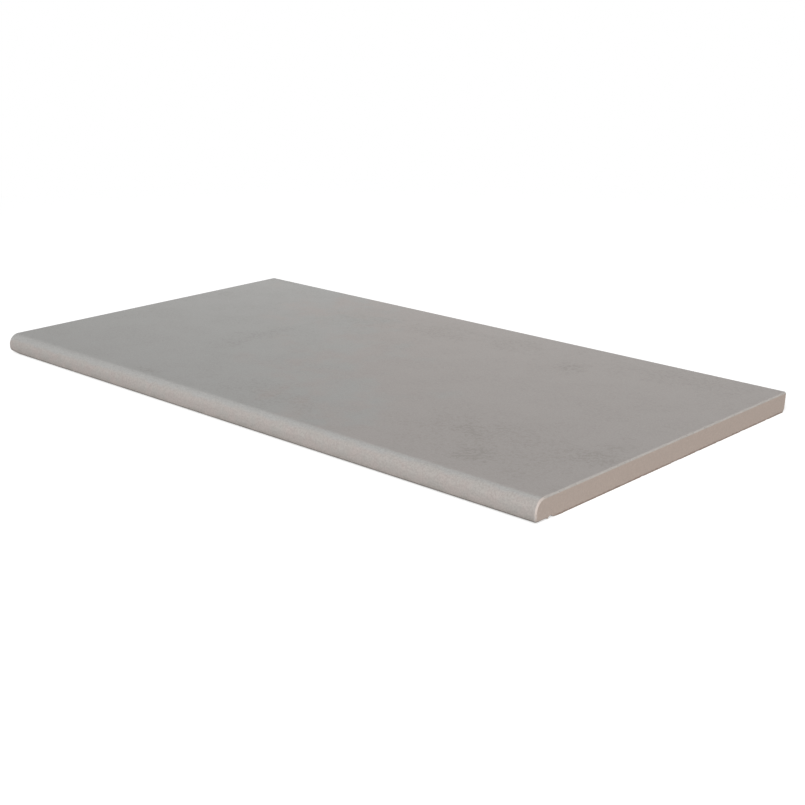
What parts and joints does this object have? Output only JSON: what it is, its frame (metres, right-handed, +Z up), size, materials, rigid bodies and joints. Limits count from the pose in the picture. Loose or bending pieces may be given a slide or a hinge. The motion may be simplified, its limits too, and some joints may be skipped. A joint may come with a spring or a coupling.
{
  "type": "bullnose pool coping tile",
  "caption": "Flat porcelain coping tile for a pool edge, with a rounded nose along one long side, a drip groove under it and a ribbed back that beds in mortar.",
  "frame": {"origin": "under the middle of the tile, on the plane of its back that it beds on", "axes": "+X along the nose, +Y from the nose to the back edge, +Z up out of the walking surface"},
  "size_m": [0.6096, 0.3302, 0.017],
  "materials": {
    "porcelain": "matt cement-grey glaze over a beige-pink fired body, which shows bare on the sawn ends and the back"
  },
  "bodies": {
    "root": {"coping_tile": "porcelain"}
  },
  "joints": []
}
